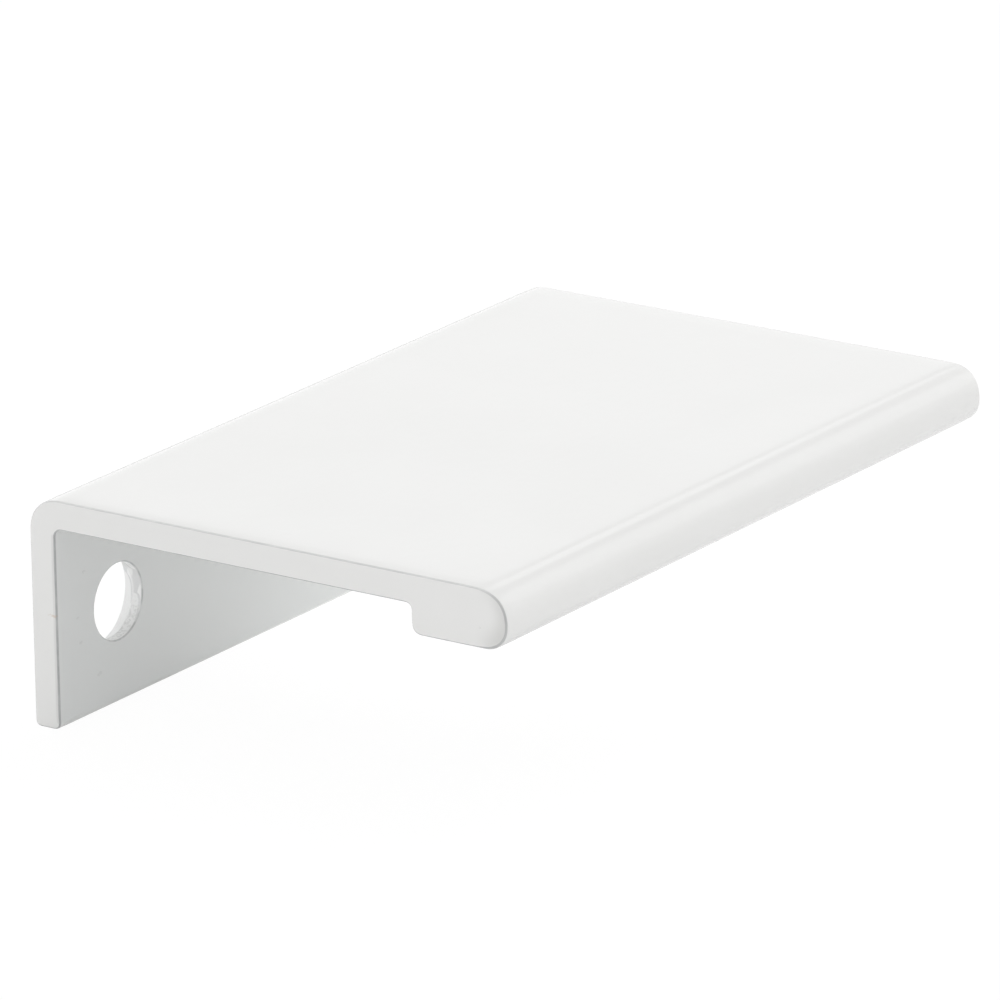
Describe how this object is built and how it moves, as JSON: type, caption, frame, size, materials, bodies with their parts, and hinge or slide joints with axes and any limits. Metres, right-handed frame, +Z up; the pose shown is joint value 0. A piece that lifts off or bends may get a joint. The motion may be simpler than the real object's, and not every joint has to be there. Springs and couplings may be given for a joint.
{
  "type": "edge pull",
  "caption": "White painted aluminium edge pull: a flat plate over the top edge of a door or drawer front, a drilled flange behind it and a rounded finger grip along the front.",
  "frame": {"origin": "middle of the screw pattern, on the flange face that lies against the back of the door", "axes": "+X along the pull, +Y to the back away from the door, +Z up; the grip points to -Y"},
  "size_m": [0.057, 0.038, 0.016],
  "materials": {
    "white_paint": "gloss white paint over an aluminium extrusion"
  },
  "bodies": {
    "root": {"edge_pull": "white_paint"}
  },
  "joints": []
}
